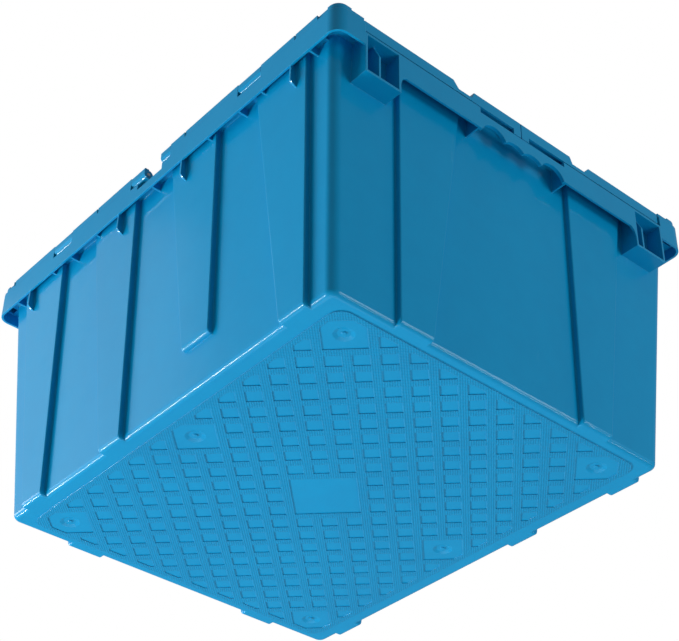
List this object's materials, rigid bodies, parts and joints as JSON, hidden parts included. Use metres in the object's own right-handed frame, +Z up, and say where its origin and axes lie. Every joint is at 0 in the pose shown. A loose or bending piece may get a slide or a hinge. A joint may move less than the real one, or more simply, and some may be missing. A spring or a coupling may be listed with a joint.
{
  "type": "attached-lid container",
  "caption": "Tapered plastic tote with stepped wall panels, a ribbed rim with hand grips, a latticed base, and hinged half-lids whose fingers interlock along the middle.",
  "frame": {"origin": "on the floor, under the middle of the base", "axes": "+X along the hinge sides towards the right-hand end, +Y across from the front lid's hinge side to the rear lid's, +Z up"},
  "size_m": [0.609, 0.502, 0.3155],
  "materials": {
    "tub_polypropylene": "satin moulded polypropylene, fine texture on the base",
    "lid_polypropylene": "satin moulded polypropylene",
    "hinge_pin_steel": "bright drawn wire"
  },
  "bodies": {
    "tub": {"tub": "tub_polypropylene", "front_left_hinge_pin": "hinge_pin_steel", "front_right_hinge_pin": "hinge_pin_steel", "rear_left_hinge_pin": "hinge_pin_steel", "rear_right_hinge_pin": "hinge_pin_steel"},
    "front_lid": {"front_lid": "lid_polypropylene"},
    "rear_lid": {"rear_lid": "lid_polypropylene"}
  },
  "joints": [
    {"name": "front_lid_hinge", "type": "hinge", "parent": "tub", "child": "front_lid", "pos_m": [0, -0.2455, 0.3055], "axis": [1, 0, 0], "range_deg": [0, 240]},
    {"name": "rear_lid_hinge", "type": "hinge", "parent": "tub", "child": "rear_lid", "pos_m": [0, 0.2455, 0.3055], "axis": [-1, 0, 0], "range_deg": [0, 240]}
  ]
}
